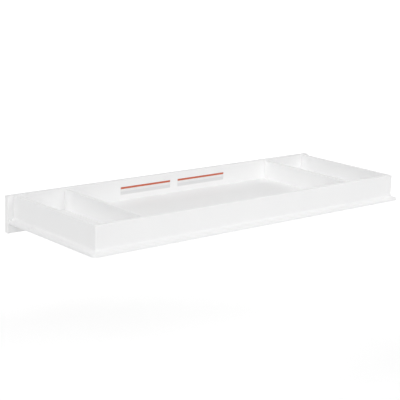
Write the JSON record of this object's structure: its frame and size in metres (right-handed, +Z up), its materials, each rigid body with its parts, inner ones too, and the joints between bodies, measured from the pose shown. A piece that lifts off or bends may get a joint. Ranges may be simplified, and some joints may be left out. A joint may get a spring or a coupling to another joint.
{
  "type": "changing tray",
  "caption": "Wide white-painted wooden changing tray: a pad bay between smaller end bays, a moulded base edge, and a back board hanging below the base as a lip behind a dresser top.",
  "frame": {"origin": "middle of the base board's flat underside, which lies on the dresser top", "axes": "+X to the tray's right seen from the front, +Y from front to back, +Z up"},
  "size_m": [1.292, 0.463, 0.118],
  "materials": {
    "painted_board": "white satin paint",
    "screw_steel": "zinc plated",
    "dowel_beech": "bare beech"
  },
  "bodies": {
    "root": {"base_panel": "painted_board", "front_panel": "painted_board", "back_panel": "painted_board", "left_side": "painted_board", "right_side": "painted_board", "left_divider": "painted_board", "right_divider": "painted_board", "front_panel_base_screws": "screw_steel", "base_panel_back_screws": "screw_steel", "left_side_base_screws": "screw_steel", "left_side_back_screws": "screw_steel", "right_side_base_screws": "screw_steel", "right_side_back_screws": "screw_steel", "left_divider_base_screws": "screw_steel", "left_divider_back_screws": "screw_steel", "right_divider_base_screws": "screw_steel", "right_divider_back_screws": "screw_steel", "left_side_dowels": "dowel_beech", "right_side_dowels": "dowel_beech", "left_divider_dowels": "dowel_beech", "right_divider_dowels": "dowel_beech"}
  },
  "joints": []
}
